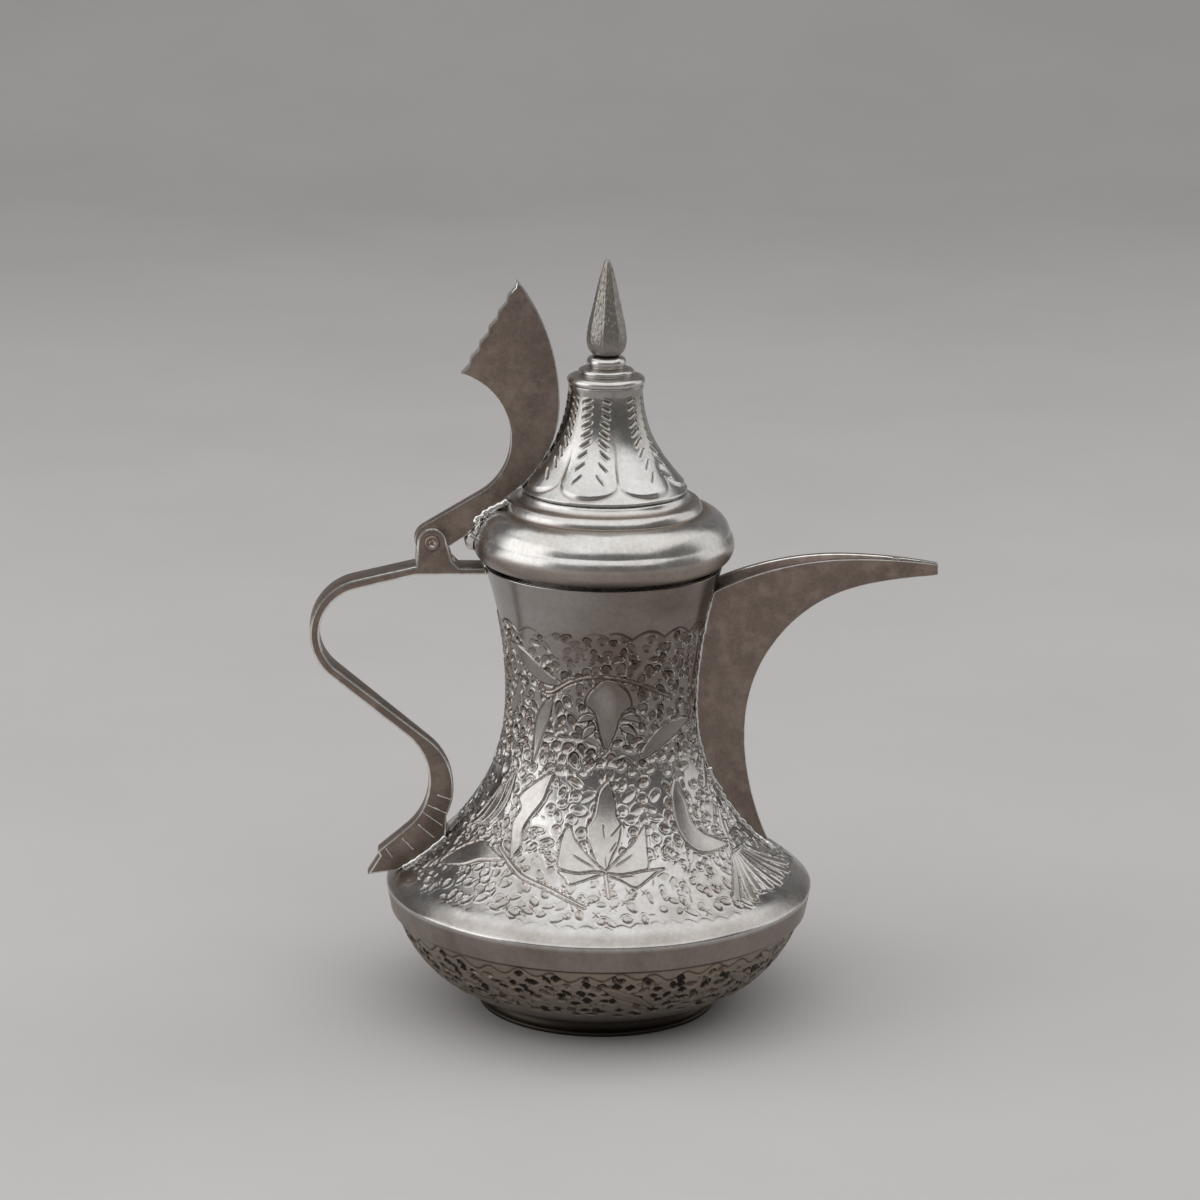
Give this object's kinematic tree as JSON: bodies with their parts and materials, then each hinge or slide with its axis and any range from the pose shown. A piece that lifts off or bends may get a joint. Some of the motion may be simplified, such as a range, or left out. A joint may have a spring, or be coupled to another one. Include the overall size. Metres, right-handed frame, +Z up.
{
  "type": "dallah coffee pot",
  "caption": "Waisted metal dallah coffee pot with a curved beak spout, S-shaped strap handle and a hinged bell lid raised by a toothed thumb lever.",
  "frame": {"origin": "centre of the foot ring on the plane the pot rests on", "axes": "+Z up along the pot's axis, +X towards the spout, so the hinge pin lies along Y"},
  "size_m": [0.1486, 0.102, 0.1803],
  "materials": {
    "body_metal": "hammered and chased silvery sheet, worn bright with dark recesses",
    "lid_metal": "burnished silvery sheet",
    "plate_metal": "matt brownish-grey filed plate",
    "finial_metal": "dull faceted casting",
    "solder": "bright solder"
  },
  "bodies": {
    "pot": {"waist_shell": "body_metal", "base_bowl": "body_metal", "foot_ring": "body_metal", "spout": "plate_metal", "spout_bridge": "solder", "handle": "plate_metal", "hinge_pin": "plate_metal"},
    "lid": {"lid_rim": "lid_metal", "lid_sleeve": "lid_metal", "lid_bell": "lid_metal", "finial_collar": "lid_metal", "finial": "finial_metal", "finial_washer": "lid_metal", "thumb_lever": "plate_metal", "lever_solder_joint": "solder"}
  },
  "joints": [
    {"name": "lid_hinge", "type": "hinge", "parent": "pot", "child": "lid", "pos_m": [-0.0404, 0, 0.1138], "axis": [0, -1, 0], "range_deg": [0, 110]}
  ]
}
